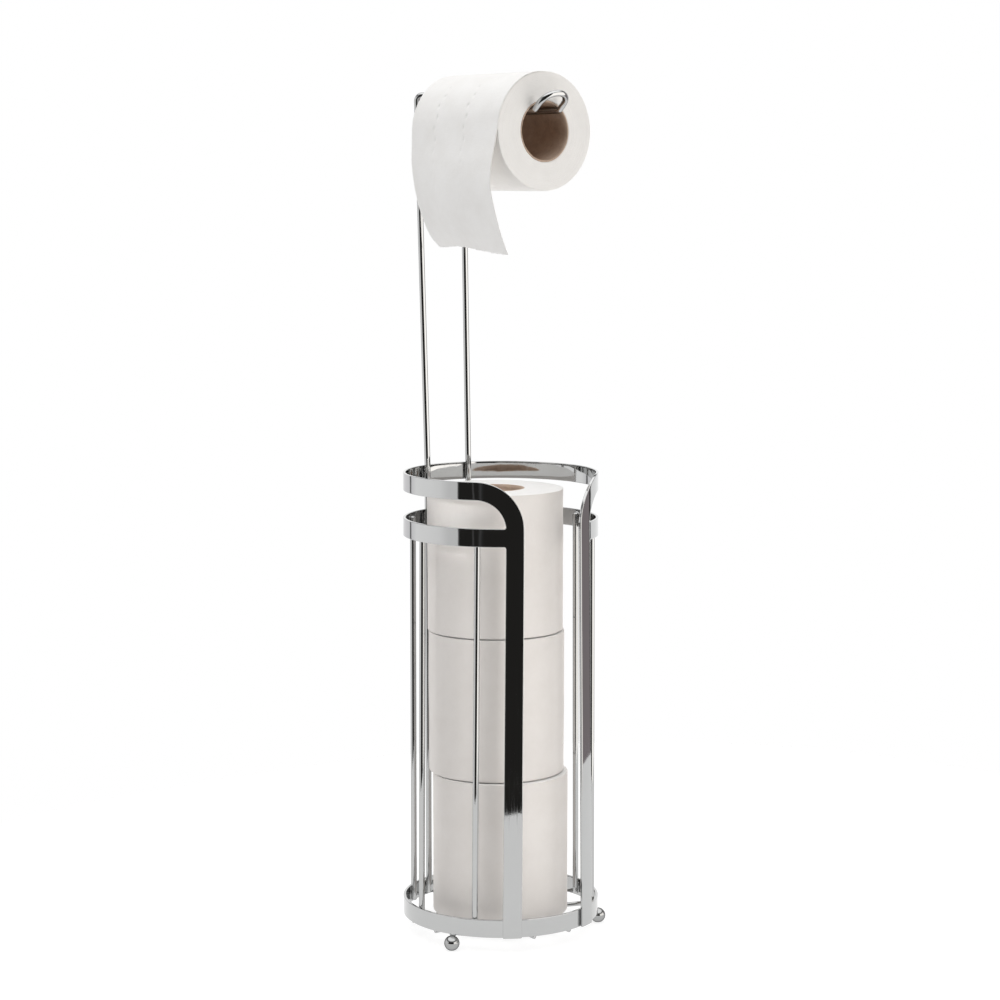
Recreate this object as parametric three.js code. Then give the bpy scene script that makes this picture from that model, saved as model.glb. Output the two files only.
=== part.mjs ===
// Free-standing toilet-roll stand with a reserve cage, in millimetres.
// +Z is up, the open side of the cage faces -Y, and the stand rests on Z = 0.
// A chromed steel strip is rolled into the cage, a hairpin wire makes the mast and the arm,
// and the stand carries three spare rolls in the cage and one roll on the arm.
import * as THREE from 'three';

// Cage
const HOOP_R = 70;                    // outer radius of the top and middle hoops
const BASE_R = 70.8;                  // outer radius of the base hoop
const STRIP_T = 2;                    // thickness of the flat strip
const STRIP_W = 12.8;                 // width of the flat strip
const BASE_Z = 11;                    // lower edge of the base hoop
const MIDDLE_Z = 288;                 // lower edge of the middle hoop
const TOP_Z = 333.2;                  // upper edge of the top hoop
const POST_ANGLE = 24.9;              // degrees from the middle of the opening to the middle of each post
const CAGE_TURN = -4.5;               // the opening faces this many degrees to the left of the arm
const CAGE_SPREAD = 2.3;              // degrees by which the cage opens towards its foot, at its left end
const CORNER_R = 27.6;                // bend from hoop to post, on the middle of the strip
const GAP = 0.3;                      // clearance between touching pieces

// Wires and feet
const ROD_R = 2.1;
const ROD_ANGLES = [47.5, 90.2, 138]; // degrees from the middle of the opening, on each side
const FLOOR_WIRE_R = 1.6;
const FLOOR_WIRE_SPACING = 30;
const FLOOR_WIRE_END_DROP = 1.3;      // wire ends sit this far below the hoop's lower edge
const BALL_R = 5.4;
const BALL_FLAT_R = 2;                // small flat that each ball foot stands on
const BALL_CIRCLE_R = 71.6;
const FOOT_ANGLES = { left: -62.3, right: 62.3, rear: 180 };

// Mast and arm, one bent wire
const MAST_R = 2.15;
const MAST_BEND_R = 3.6;              // tight bends, on the middle of the wire
const MAST_ANGLE = 163.5;             // degrees from the front to each leg
const MAST_TOP_Z = 605.4;             // corner of the top bend, on the middle of the wire
const MAST_RAKE = 9;                  // the top stands this far behind the foot of the mast
const MAST_SPLAY = 2;                 // and each leg this far further out
const ARM_Z = 586.9;                  // middle of the wire where the roll hangs
const ARM_HALF_W = 10.8;              // half the distance between the two arm wires
const ARM_BACK_Y = 56.5;
const ARM_KICK_Y = -51.2;             // the arm turns up here
const ARM_KICK_LENGTH = 17.2;
const ARM_KICK_ANGLE = 42;            // degrees above level

// Rolls
const SPARE_R = 49;
const SPARE_H = 102.4;
const SPARE_LIFT = 2.2;               // the stack stands this far above the hoop's lower edge
const SUPPLY_R = 41;
const SUPPLY_W = 98.6;
const CORE_R = 20.1;                  // inner radius of the cardboard core
const CORE_T = 1;
const PAPER_EDGE = 1.5;               // rounded edge of the wound paper
const SUPPLY_FRONT_Y = -49.5;
const SPARE_SETBACK = { bottom: 0.5, middle: 5, top: 6.5 };
const SHEET_T = 0.8;

const STRIP_MIDDLE_R = HOOP_R - STRIP_T / 2;
const WALL_R = HOOP_R - STRIP_T - GAP;
const BASE_WALL_R = BASE_R - STRIP_T - GAP;
const LAP = BASE_R - HOOP_R + STRIP_T + GAP;
const SPARE_Z = BASE_Z + SPARE_LIFT;
const deg = THREE.MathUtils.degToRad;

const chrome = () => new THREE.MeshStandardMaterial({ color: 0xd4d6d9, metalness: 1, roughness: 0.07 });
const paper = () => new THREE.MeshStandardMaterial({ color: 0xf1eeea, metalness: 0, roughness: 0.95 });
const cardboard = () => new THREE.MeshStandardMaterial({ color: 0x7b5b41, metalness: 0, roughness: 0.9 });

function addPiece(group, name, geometry, material) {
  const piece = new THREE.Mesh(geometry, material);
  piece.name = name;
  group.add(piece);
  return piece;
}

// A point on a circle about the cage axis, by its angle from the front.
function onCircle(radius, angle, z = 0) {
  return new THREE.Vector3(radius * Math.sin(deg(angle)), -radius * Math.cos(deg(angle)), z);
}

// The arc that rounds a corner between two straight runs.
class BendCurve extends THREE.Curve {
  constructor(before, corner, after, radius) {
    super();
    const back = before.clone().sub(corner).normalize();
    const onward = after.clone().sub(corner).normalize();
    const half = back.angleTo(onward) / 2;
    const setback = radius / Math.tan(half);
    this.start = corner.clone().addScaledVector(back, setback);
    this.end = corner.clone().addScaledVector(onward, setback);
    const bisector = back.add(onward).normalize();
    this.centre = corner.clone().addScaledVector(bisector, radius / Math.sin(half));
    this.spoke = this.start.clone().sub(this.centre);
    this.axis = this.spoke.clone().cross(this.end.clone().sub(this.centre)).normalize();
    this.sweep = Math.PI - 2 * half;
  }

  getPoint(t, target = new THREE.Vector3()) {
    return target.copy(this.spoke).applyAxisAngle(this.axis, t * this.sweep).add(this.centre);
  }
}

// A run of straight and bent stretches, with one section of the sweep at each station.
class BentRun extends THREE.Curve {
  constructor(corners) {
    super();
    this.stations = [];
    let from = corners[0].at;
    for (let i = 1; i < corners.length - 1; i += 1) {
      const { radius, bendSteps, straightSteps = 1 } = corners[i];
      const bend = new BendCurve(corners[i - 1].at, corners[i].at, corners[i + 1].at, radius);
      this.addStretch(new THREE.LineCurve3(from, bend.start), straightSteps);
      this.addStretch(bend, bendSteps);
      from = bend.end;
    }
    const last = corners.at(-1);
    const finish = new THREE.LineCurve3(from, last.at);
    this.addStretch(finish, last.straightSteps ?? 1);
    this.stations.push({ point: last.at, tangent: finish.getTangent(1) });
  }

  addStretch(curve, steps) {
    if (curve.getLength() < 0.01) return;
    for (let i = 0; i < steps; i += 1) {
      this.stations.push({ point: curve.getPoint(i / steps), tangent: curve.getTangent(i / steps) });
    }
  }

  get steps() {
    return this.stations.length - 1;
  }

  getPointAt(u) {
    return this.stations[Math.round(u * this.steps)].point.clone();
  }

  getTangentAt(u) {
    return this.stations[Math.round(u * this.steps)].tangent.clone();
  }
}

function sweep(section, run) {
  return new THREE.ExtrudeGeometry(section, { steps: run.steps, bevelEnabled: false, extrudePath: run });
}

function roundSection(radius, sides) {
  const points = [];
  for (let i = 0; i < sides; i += 1) {
    const turn = (2 * Math.PI * i) / sides;
    points.push(new THREE.Vector2(radius * Math.cos(turn), radius * Math.sin(turn)));
  }
  return new THREE.Shape(points);
}

// A rectangle with a point in the middle of both upright sides, so that they can follow a curve.
function flatSection(sizeX, sizeY) {
  const x = sizeX / 2;
  const y = sizeY / 2;
  const outline = [[-x, -y], [x, -y], [x, 0], [x, y], [-x, y], [-x, 0]];
  return new THREE.Shape(outline.map((point) => new THREE.Vector2(...point)));
}

// How far the posts lean out, so that their lower ends lap over the outside of the base hoop.
function leanOut(z) {
  const straightTop = TOP_Z - STRIP_W / 2 - CORNER_R;
  return LAP * Math.max(0, (straightTop - z) / (straightTop - BASE_Z - STRIP_W));
}

// Where a place on the cage stands, in degrees from the front. turn runs from the middle of the
// opening, past the right post and the back, to the left post.
function facing(turn, z) {
  return turn + CAGE_TURN - CAGE_SPREAD * (turn / 360) * (TOP_Z - z) / (TOP_Z - BASE_Z);
}

// Wraps a strip drawn flat (x round the cage, y up, z outward) on to the cage.
function wrapOnCage(geometry) {
  const position = geometry.getAttribute('position');
  for (let i = 0; i < position.count; i += 1) {
    const z = position.getY(i);
    const turn = deg(facing(position.getX(i) / deg(STRIP_MIDDLE_R), z));
    const radius = STRIP_MIDDLE_R + position.getZ(i) + leanOut(z);
    position.setXYZ(i, radius * Math.sin(turn), -radius * Math.cos(turn), z);
  }
  geometry.computeVertexNormals();
  return geometry;
}

// Distance round the cage at an angle from the front.
const roundCage = (angle) => STRIP_MIDDLE_R * deg(angle);

// The top hoop and both front posts are one strip, bent edgewise at the two corners.
function hoopAndPosts() {
  const hoopZ = TOP_Z - STRIP_W / 2;
  const near = roundCage(POST_ANGLE);
  const far = roundCage(360 - POST_ANGLE);
  const flat = (x, y) => new THREE.Vector3(x, y, 0);
  const run = new BentRun([
    { at: flat(near, BASE_Z) },
    { at: flat(near, hoopZ), radius: CORNER_R, bendSteps: 9, straightSteps: 2 },
    { at: flat(far, hoopZ), radius: CORNER_R, bendSteps: 9, straightSteps: 48 },
    { at: flat(far, BASE_Z), straightSteps: 2 },
  ]);
  return wrapOnCage(sweep(flatSection(STRIP_T, STRIP_W), run));
}

// The middle hoop runs round the back from one post to the other.
function middleHoop() {
  const near = roundCage(POST_ANGLE) + STRIP_W / 2 + GAP;
  const far = roundCage(360) - near;
  const z = MIDDLE_Z + STRIP_W / 2;
  const run = new BentRun([
    { at: new THREE.Vector3(near, z, 0) },
    { at: new THREE.Vector3(far, z, 0), straightSteps: 52 },
  ]);
  return wrapOnCage(sweep(flatSection(STRIP_T, STRIP_W), run));
}

// A ring with the given outline, turned about Z.
function turned(outline, segments) {
  const profile = outline.map(([r, z]) => new THREE.Vector2(r, z));
  return new THREE.LatheGeometry(profile, segments).rotateX(Math.PI / 2);
}

function baseHoop() {
  const inner = BASE_R - STRIP_T;
  const top = BASE_Z + STRIP_W;
  return turned([[inner, BASE_Z], [BASE_R, BASE_Z], [BASE_R, top], [inner, top], [inner, BASE_Z]], 72);
}

// A straight rod inside the hoops.
function cageRod(turn) {
  const end = (wallR, z) => ({ at: onCircle(wallR - ROD_R, facing(turn, z), z) });
  const run = new BentRun([end(BASE_WALL_R, BASE_Z + 2), end(WALL_R, MIDDLE_Z + STRIP_W - 2)]);
  return sweep(roundSection(ROD_R, 12), run);
}

// A floor wire along X: level in the middle, with both ends at the hoop's lower edge.
function floorWire(middleZ) {
  const offset = FLOOR_WIRE_SPACING / 2;
  const reach = Math.sqrt(BASE_WALL_R ** 2 - (offset + FLOOR_WIRE_R) ** 2);
  const endZ = BASE_Z - FLOOR_WIRE_END_DROP;
  const at = (x, z) => new THREE.Vector3(x, offset, z);
  const run = new BentRun([
    { at: at(-reach, endZ) },
    { at: at(-reach + 6, endZ), radius: 14, bendSteps: 2 },
    { at: at(-reach + 24, middleZ), radius: 14, bendSteps: 2 },
    { at: at(reach - 24, middleZ), radius: 14, bendSteps: 2 },
    { at: at(reach - 6, endZ), radius: 14, bendSteps: 2 },
    { at: at(reach, endZ) },
  ]);
  return sweep(roundSection(FLOOR_WIRE_R, 10), run);
}

function ballFoot() {
  const centreZ = Math.sqrt(BALL_R ** 2 - BALL_FLAT_R ** 2);
  const start = -Math.asin(centreZ / BALL_R);
  const outline = [[0, 0]];
  const steps = 10;
  for (let i = 0; i < steps; i += 1) {
    const rise = THREE.MathUtils.lerp(start, Math.PI / 2, i / steps);
    outline.push([BALL_R * Math.cos(rise), centreZ + BALL_R * Math.sin(rise)]);
  }
  outline.push([0, centreZ + BALL_R]);
  return turned(outline, 18);
}

// One side of the mast wire, from the foot of a leg to the middle of the arm's tip.
function mastSide(side) {
  const foot = onCircle(WALL_R - MAST_R, side * MAST_ANGLE, BASE_Z + 2);
  const cageTop = foot.clone().setZ(TOP_Z);
  const top = new THREE.Vector3(foot.x + side * MAST_SPLAY, foot.y + MAST_RAKE, MAST_TOP_Z);
  const x = side * ARM_HALF_W;
  const kick = deg(ARM_KICK_ANGLE);
  const tipY = ARM_KICK_Y - ARM_KICK_LENGTH * Math.cos(kick);
  const tipZ = ARM_Z + ARM_KICK_LENGTH * Math.sin(kick);
  return [
    { at: foot },
    { at: cageTop, radius: 60, bendSteps: 2, straightSteps: 2 },
    { at: top, radius: MAST_BEND_R, bendSteps: 6, straightSteps: 2 },
    { at: new THREE.Vector3(x, ARM_BACK_Y, ARM_Z), radius: 5, bendSteps: 4 },
    { at: new THREE.Vector3(x, ARM_KICK_Y, ARM_Z), radius: MAST_BEND_R, bendSteps: 4 },
    { at: new THREE.Vector3(x, tipY, tipZ), radius: ARM_HALF_W - 0.1, bendSteps: 6 },
  ];
}

function mastWire() {
  const run = new BentRun([...mastSide(-1), ...mastSide(1).reverse()]);
  return sweep(roundSection(MAST_R, 12), run);
}

// Wound paper about Z, standing on Z = 0.
function woundPaper(radius, height) {
  const bore = CORE_R + CORE_T + GAP;
  const edge = PAPER_EDGE;
  return turned([
    [bore, 0],
    [radius - edge, 0],
    [radius, edge],
    [radius, height - edge],
    [radius - edge, height],
    [bore, height],
    [bore, 0],
  ], 48);
}

function rollCore(height) {
  const outer = CORE_R + CORE_T;
  return turned([[CORE_R, 0], [outer, 0], [outer, height], [CORE_R, height], [CORE_R, 0]], 40);
}

// The loose end of the paper hangs from the side of the roll and curls in below it.
function hangingSheet(rollZ) {
  const x = -(SUPPLY_R + GAP + SHEET_T / 2);
  const middleY = SUPPLY_FRONT_Y + SUPPLY_W / 2;
  const at = (outward, z) => new THREE.Vector3(x - outward, middleY, z);
  const run = new BentRun([
    { at: at(0, rollZ + 8) },
    { at: at(1.5, rollZ - 36), radius: 70, bendSteps: 4 },
    { at: at(-3, rollZ - 62), radius: 50, bendSteps: 4 },
    { at: at(-17, rollZ - 82) },
  ]);
  return sweep(flatSection(SUPPLY_W, SHEET_T), run);
}

function buildCage(stand) {
  addPiece(stand, 'hoop_and_posts', hoopAndPosts(), chrome());
  addPiece(stand, 'middle_hoop', middleHoop(), chrome());
  addPiece(stand, 'base_hoop', baseHoop(), chrome());
  ROD_ANGLES.forEach((angle, i) => {
    addPiece(stand, `cage_rod_left_${i + 1}`, cageRod(360 - angle), chrome());
    addPiece(stand, `cage_rod_right_${i + 1}`, cageRod(angle), chrome());
  });
}

function buildFloor(stand) {
  const upperZ = SPARE_Z - GAP - FLOOR_WIRE_R;
  const lowerZ = upperZ - 2 * FLOOR_WIRE_R - GAP;
  const wires = [['cross_rear', upperZ, 0], ['cross_front', upperZ, 180], ['long_left', lowerZ, 90],
    ['long_right', lowerZ, -90]];
  for (const [name, middleZ, turn] of wires) {
    addPiece(stand, `floor_wire_${name}`, floorWire(middleZ), chrome()).rotation.z = deg(turn + CAGE_TURN);
  }
  for (const [name, angle] of Object.entries(FOOT_ANGLES)) {
    const foot = addPiece(stand, `ball_foot_${name}`, ballFoot(), chrome());
    foot.position.copy(onCircle(BALL_CIRCLE_R, angle + CAGE_TURN));
  }
}

function buildSpares(stand) {
  Object.entries(SPARE_SETBACK).forEach(([name, setback], i) => {
    const place = new THREE.Group();
    place.position.set(0, setback, SPARE_Z + i * (SPARE_H + GAP));
    addPiece(place, `spare_roll_${name}`, woundPaper(SPARE_R, SPARE_H), paper());
    addPiece(place, `spare_core_${name}`, rollCore(SPARE_H), cardboard());
    stand.add(place);
  });
}

function buildSupply(stand) {
  const hang = CORE_R - MAST_R - GAP;
  const rollZ = ARM_Z - Math.sqrt(hang ** 2 - ARM_HALF_W ** 2);
  const place = new THREE.Group();
  place.position.set(0, SUPPLY_FRONT_Y, rollZ);
  place.rotation.x = -Math.PI / 2;
  addPiece(place, 'supply_roll', woundPaper(SUPPLY_R, SUPPLY_W), paper());
  addPiece(place, 'supply_core', rollCore(SUPPLY_W), cardboard());
  stand.add(place);
  addPiece(stand, 'supply_sheet', hangingSheet(rollZ), paper());
}

const stand = new THREE.Group();
buildCage(stand);
buildFloor(stand);
addPiece(stand, 'mast_wire', mastWire(), chrome());
buildSpares(stand);
buildSupply(stand);

// The origin is on the floor, at the middle of the stand's footprint.
const middle = new THREE.Box3().setFromObject(stand).getCenter(new THREE.Vector3());
stand.position.set(-middle.x, -middle.y, 0);

export default stand;
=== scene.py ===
"""A chromed toilet-roll stand: a cage for three spare rolls, a mast and an arm for the roll in use.

Lengths are millimetres until a mesh is written, and angles round the cage are degrees
from its open front (-Y), positive towards +X."""
import math

import bmesh
import bpy
from mathutils import Matrix, Vector, noise


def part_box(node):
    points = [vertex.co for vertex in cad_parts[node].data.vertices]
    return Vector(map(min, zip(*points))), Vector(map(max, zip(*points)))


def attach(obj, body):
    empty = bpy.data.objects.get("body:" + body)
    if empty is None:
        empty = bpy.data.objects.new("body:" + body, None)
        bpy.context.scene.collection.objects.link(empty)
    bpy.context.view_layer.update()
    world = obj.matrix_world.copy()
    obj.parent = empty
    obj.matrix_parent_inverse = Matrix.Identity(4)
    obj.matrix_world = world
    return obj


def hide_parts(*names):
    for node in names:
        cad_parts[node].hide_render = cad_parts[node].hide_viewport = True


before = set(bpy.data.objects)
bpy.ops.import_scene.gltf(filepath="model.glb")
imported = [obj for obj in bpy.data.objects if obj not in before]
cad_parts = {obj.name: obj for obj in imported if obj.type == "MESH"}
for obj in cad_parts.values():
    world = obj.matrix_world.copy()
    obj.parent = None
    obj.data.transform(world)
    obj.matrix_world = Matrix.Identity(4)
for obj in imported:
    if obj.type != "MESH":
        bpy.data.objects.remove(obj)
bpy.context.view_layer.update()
scene = bpy.context.scene

MM = 0.001


def node_box(name):
    """Lowest and highest corner of a node, in millimetres."""
    low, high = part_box(name)
    return Vector(low) / MM, Vector(high) / MM


def middle_of(name):
    low, high = node_box(name)
    return (low + high) / 2


# Cage
BASE_LOW, BASE_HIGH = node_box("base_hoop")
BASE_R = (BASE_HIGH.x - BASE_LOW.x) / 2
HOOP_R = 70.0
AXIS_X = (BASE_HIGH.x + BASE_LOW.x) / 2
AXIS_Y = (BASE_HIGH.y + BASE_LOW.y) / 2
BASE_Z = BASE_LOW.z
STRIP_W = BASE_HIGH.z - BASE_LOW.z
STRIP_T = 2.0
STRIP_EDGE_R = 0.45
CUT_EASE = 0.3                         # rounding of a cut end
STRIP_MIDDLE_R = HOOP_R - STRIP_T / 2
TOP_Z = node_box("hoop_and_posts")[1].z
MIDDLE_Z = node_box("middle_hoop")[0].z
POST_ANGLE = 24.9                      # from the middle of the opening
CAGE_TURN = -4.5                       # the opening faces a little to the left of the arm
CAGE_SPREAD = 2.3                      # and the cage opens by this much towards its foot
CORNER_R = 27.6
GAP = 0.3
LAP = BASE_R - HOOP_R + STRIP_T + GAP
WALL_R = HOOP_R - STRIP_T - GAP
BASE_WALL_R = BASE_R - STRIP_T - GAP
WELD_FILLET = 1.7

# Wires
ROD_R = 2.1
ROD_ANGLES = (47.5, 90.2, 138)         # from the middle of the opening
ROD_INSET = 2                          # rods and mast legs end this far from the hoops' edges
FLOOR_WIRE_R = 1.6
FLOOR_WIRE_SPACING = 30
FLOOR_WIRE_END_DROP = 1.3              # below the lower edge of the base hoop
FLOOR_WIRE_BEND_R = 14
FLOOR_WIRE_RIM = 6                     # length of its level ends
FLOOR_WIRE_DISH = 24                   # it has reached its full height this far from its ends
MAST_R = 2.15
MAST_ANGLE = 163.5
MAST_TOP_Z = 607.2
MAST_RAKE = 9
MAST_SPLAY = 2
MAST_KNEE_R = 60                       # the soft bend where the legs start to rake
ARM_Z = 586.9
ARM_HALF_W = 10.8
ARM_BACK_Y = 56.5
ARM_KICK_Y = -51.2
ARM_KICK_LENGTH = 17.2
ARM_KICK_ANGLE = 42
ARM_BEND_R = 5.0
BEND_R = 4.2

# Weld nuggets: half their size along, across and square to both
HOOP_WELD = (4.2, 0.9, 1.5)
RIM_WELD = (1.1, 1.0, 1.9)
CROSSING_WELD = (1.6, 1.6, 0.8)
FOOT_WELD = (2.6, 1.2, 0.95)
WELD_HAZE = (1.5, 6.5)                 # the plating is dull up to here, and bright from here on

# Feet
BALL_R = 5.4
BALL_FLAT_R = 2.0

# Rolls
SPARES = ("bottom", "middle", "top")
CORE_IN_R = 20.1
CORE_OUT_R = 21.1
SUPPLY_LOW, SUPPLY_HIGH = node_box("supply_roll")
SUPPLY_MIDDLE = (SUPPLY_LOW + SUPPLY_HIGH) / 2
SUPPLY_R = (SUPPLY_HIGH.x - SUPPLY_LOW.x) / 2
ROLL_W = SUPPLY_HIGH.y - SUPPLY_LOW.y
STITCH_LINES = (21.6, -11.9)           # along the roll from its middle
STITCH_PITCH = 8.0
STITCH_LENGTH = 1.7
STITCH_REACH = 4.5                     # a stitch has faded out this far to the side of its line
ROLL_SIDES = 288
END_INSET = 0.35                       # the cut ends lie this far inside the roll's full width
FAR_END_TURN = 2.0                     # radians, so that the two ends of a roll aren't alike

# Loose sheet
SHEET_T = 0.35
SHEET_START = 92                       # degrees above level, where the sheet leaves the winding
SHEET_LIFT = 0.35                      # it lies this far off the winding further down
SHEET_ROWS = 220
SHEET_COLUMNS = 170
# Both long edges from the middle of the roll: how far to the side, and how high
BACK_EDGE = ((-41.5, -9), (-41.8, -22), (-39.8, -37), (-35.6, -53), (-27.0, -71), (-17.4, -81.0))
FRONT_EDGE = ((-43.6, -9), (-46.6, -22), (-47.6, -36), (-44.4, -51), (-38.8, -68), (-32.2, -82.6))

# Camera
CAMERA_DISTANCE = 1809.3
CAMERA_HEIGHT = 537.5
CAMERA_TURN = 38.0
CAMERA_SWING = -0.013                  # it looks this many degrees past the axis
CAMERA_PITCH = 7.09
CAMERA_LENS = 91.73
CAMERA_SENSOR = 36

UP = Vector((0, 0, 1))


def on_circle(radius, angle, z=0.0):
    turn = math.radians(angle)
    return Vector((AXIS_X + radius * math.sin(turn), AXIS_Y - radius * math.cos(turn), z))


def facing(turn, z):
    """Where a place on the cage stands; turn is from the opening, round the right side."""
    return turn + CAGE_TURN - CAGE_SPREAD * (turn / 360) * (TOP_Z - z) / (TOP_Z - BASE_Z)


def smooth(low, high, value):
    """0 below low, 1 above high, with a soft change between."""
    t = min(1.0, max(0.0, (value - low) / (high - low)))
    return t * t * (3 - 2 * t)


def wobble(x, y, z, seed):
    """Smooth noise between about -1 and 1."""
    return noise.noise(Vector((x, y, z + 17.3 * seed)))


def placed(name, data):
    """An object in the scene that shows the mesh, lamp or camera."""
    made = bpy.data.objects.new(name, data)
    scene.collection.objects.link(made)
    return made


# ---------------------------------------------------------------- meshes

class Build:
    """Collects the vertices and faces of one piece, in millimetres."""

    def __init__(self):
        self.verts = []
        self.faces = []
        self.slots = []
        self.welds = []

    def loft(self, rings, closed=False, slot_of=None):
        """Joins rings of the same number of points; slot_of gives a face's material from its ring."""
        first = len(self.verts)
        count = len(rings[0])
        for ring in rings:
            self.verts.extend(ring)
        spans = len(rings) if closed else len(rings) - 1
        for i in range(spans):
            low = first + i * count
            high = first + (i + 1) % len(rings) * count
            for j in range(count):
                k = (j + 1) % count
                self.faces.append((low + j, low + k, high + k, high + j))
                self.slots.append(slot_of(i) if slot_of else 0)
        if not closed:
            last = first + (len(rings) - 1) * count
            self.faces.append(tuple(range(first, first + count))[::-1])
            self.faces.append(tuple(range(last, last + count)))
            self.slots.extend((0, 0))

    def bead(self, centre, along, across, sizes, seed):
        """A weld nugget: a flattened drop, uneven like set metal."""
        along = along.normalized()
        across = (across - across.project(along)).normalized()
        third = along.cross(across)
        rows, columns = 9, 16
        rings = []
        for i in range(1, rows):
            lift = math.pi * (i / rows - 0.5)
            ring = []
            for j in range(columns):
                turn = 2 * math.pi * j / columns
                unit = Vector((math.sin(lift), math.cos(lift) * math.cos(turn),
                               math.cos(lift) * math.sin(turn)))
                swell = 1 + 0.12 * wobble(unit.x * 1.6, unit.y * 1.6, unit.z * 1.6, seed)
                ring.append(centre + swell * (along * unit.x * sizes[0] + across * unit.y * sizes[1]
                                              + third * unit.z * sizes[2]))
            rings.append(ring)
        self.loft(rings)
        self.welds.append(centre.copy())

    def piece(self, name, node, body, slot, materials, sharp=None):
        mesh = bpy.data.meshes.new(name)
        mesh.from_pydata([v * MM for v in self.verts], [], self.faces)
        for material in materials:
            mesh.materials.append(material)
        mesh.polygons.foreach_set("material_index", self.slots)
        mesh.polygons.foreach_set("use_smooth", [True] * len(self.faces))
        haze = mesh.attributes.new("weld_haze", "FLOAT", "POINT")
        haze.data.foreach_set("value", [self.haze_at(v) for v in self.verts])
        mesh.validate()
        made = placed(name, mesh)
        self.face_outwards(mesh)
        if sharp:
            mesh.set_sharp_from_angle(angle=math.radians(sharp))
        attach(made, body)
        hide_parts(node)
        return made

    def haze_at(self, vert):
        if not self.welds:
            return 0.0
        nearest = min((vert - weld).length for weld in self.welds)
        return 1 - smooth(*WELD_HAZE, nearest)

    @staticmethod
    def face_outwards(mesh):
        work = bmesh.new()
        work.from_mesh(mesh)
        bmesh.ops.recalc_face_normals(work, faces=work.faces)
        work.to_mesh(mesh)
        work.free()


def even_shading(made):
    """Lets the broad faces set the shading next to their rounded edges."""
    modifier = made.modifiers.new("even_shading", "WEIGHTED_NORMAL")
    modifier.mode = "FACE_AREA_WITH_ANGLE"
    modifier.weight = 80
    modifier.keep_sharp = True


# ---------------------------------------------------------------- strip

def strip_section(width, across=10, turn_steps=3):
    """Outline of the strip: the first number is across it, the second through its thickness."""
    flat = width / 2 - STRIP_EDGE_R
    deep = STRIP_T / 2 - STRIP_EDGE_R
    points = []
    corners = ((1, 1, 90), (1, -1, 0), (-1, -1, -90), (-1, 1, 180))
    for index, (side, face, start) in enumerate(corners):
        for step in range(turn_steps + 1):
            turn = math.radians(start - 90 * step / turn_steps)
            points.append((side * flat + STRIP_EDGE_R * math.cos(turn),
                           face * deep + STRIP_EDGE_R * math.sin(turn)))
        if index in (1, 3):
            towards = -side
            for i in range(1, across):
                points.append((side * flat + towards * 2 * flat * i / across, face * STRIP_T / 2))
    return points


def lean_out(z):
    """The posts lean out so that their lower ends lap over the base hoop."""
    straight_top = TOP_Z - STRIP_W / 2 - CORNER_R
    return LAP * max(0.0, (straight_top - z) / (straight_top - BASE_Z - STRIP_W))


def wrap(x, z, outward):
    """Puts a point of the flat strip on the cage; rolled strip is never quite even."""
    uneven = 0.05 * wobble(x / 21, z / 21, 0, 1) + 0.02 * wobble(x / 7, z / 7, 5, 1)
    radius = STRIP_MIDDLE_R + outward + lean_out(z) + uneven
    return on_circle(radius, facing(math.degrees(x / STRIP_MIDDLE_R), z), z)


def round_cage(angle):
    """Length along the flat strip that goes this many degrees round the cage."""
    return STRIP_MIDDLE_R * math.radians(angle)


def strip_rings(stations, width_of=None, end_ease=CUT_EASE):
    """stations are (x, z, direction in degrees) on the flat strip; its cut ends are eased."""
    rings = []
    last = len(stations) - 1
    for index, (x, z, heading) in enumerate(stations):
        width = width_of(x) if width_of else STRIP_W
        ease = end_ease if index in (0, last) else 0.0
        turn = math.radians(heading)
        normal = (-math.sin(turn), math.cos(turn))
        ring = []
        for across, outward in strip_section(width):
            across *= 1 - 2 * ease / width
            outward *= 1 - 2 * ease / STRIP_T
            ring.append(wrap(x + normal[0] * across, z + normal[1] * across, outward))
        rings.append(ring)
    return rings


def hoop_and_posts_stations():
    """Up one post, round the bend, along the hoop and down the other post."""
    hoop_z = TOP_Z - STRIP_W / 2
    near, far = round_cage(POST_ANGLE), round_cage(360 - POST_ANGLE)
    bend_z = hoop_z - CORNER_R
    half = [(near, BASE_Z, 90), (near, BASE_Z + CUT_EASE, 90)]
    post_steps = 60
    for i in range(1, post_steps):
        half.append((near, BASE_Z + (bend_z - BASE_Z) * i / post_steps, 90))
    bend_steps = 30
    for i in range(bend_steps + 1):
        turn = math.radians(180 - 90 * i / bend_steps)
        half.append((near + CORNER_R + CORNER_R * math.cos(turn), bend_z + CORNER_R * math.sin(turn),
                     90 - 90 * i / bend_steps))
    span_start, span_end = near + CORNER_R, far - CORNER_R
    hoop_steps = 220
    for i in range(1, hoop_steps // 2):
        half.append((span_start + (span_end - span_start) * i / hoop_steps, hoop_z, 0))
    mirrored = [(near + far - x, z, -heading) for x, z, heading in reversed(half)]
    middle = [((near + far) / 2, hoop_z, 0)]
    return half + middle + mirrored


def hoop_and_posts(chrome):
    build = Build()
    build.loft(strip_rings(hoop_and_posts_stations()))
    made = build.piece("hoop_and_posts_strip", "hoop_and_posts", "stand", "chrome_strip", [chrome],
                       sharp=60)
    even_shading(made)


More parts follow.
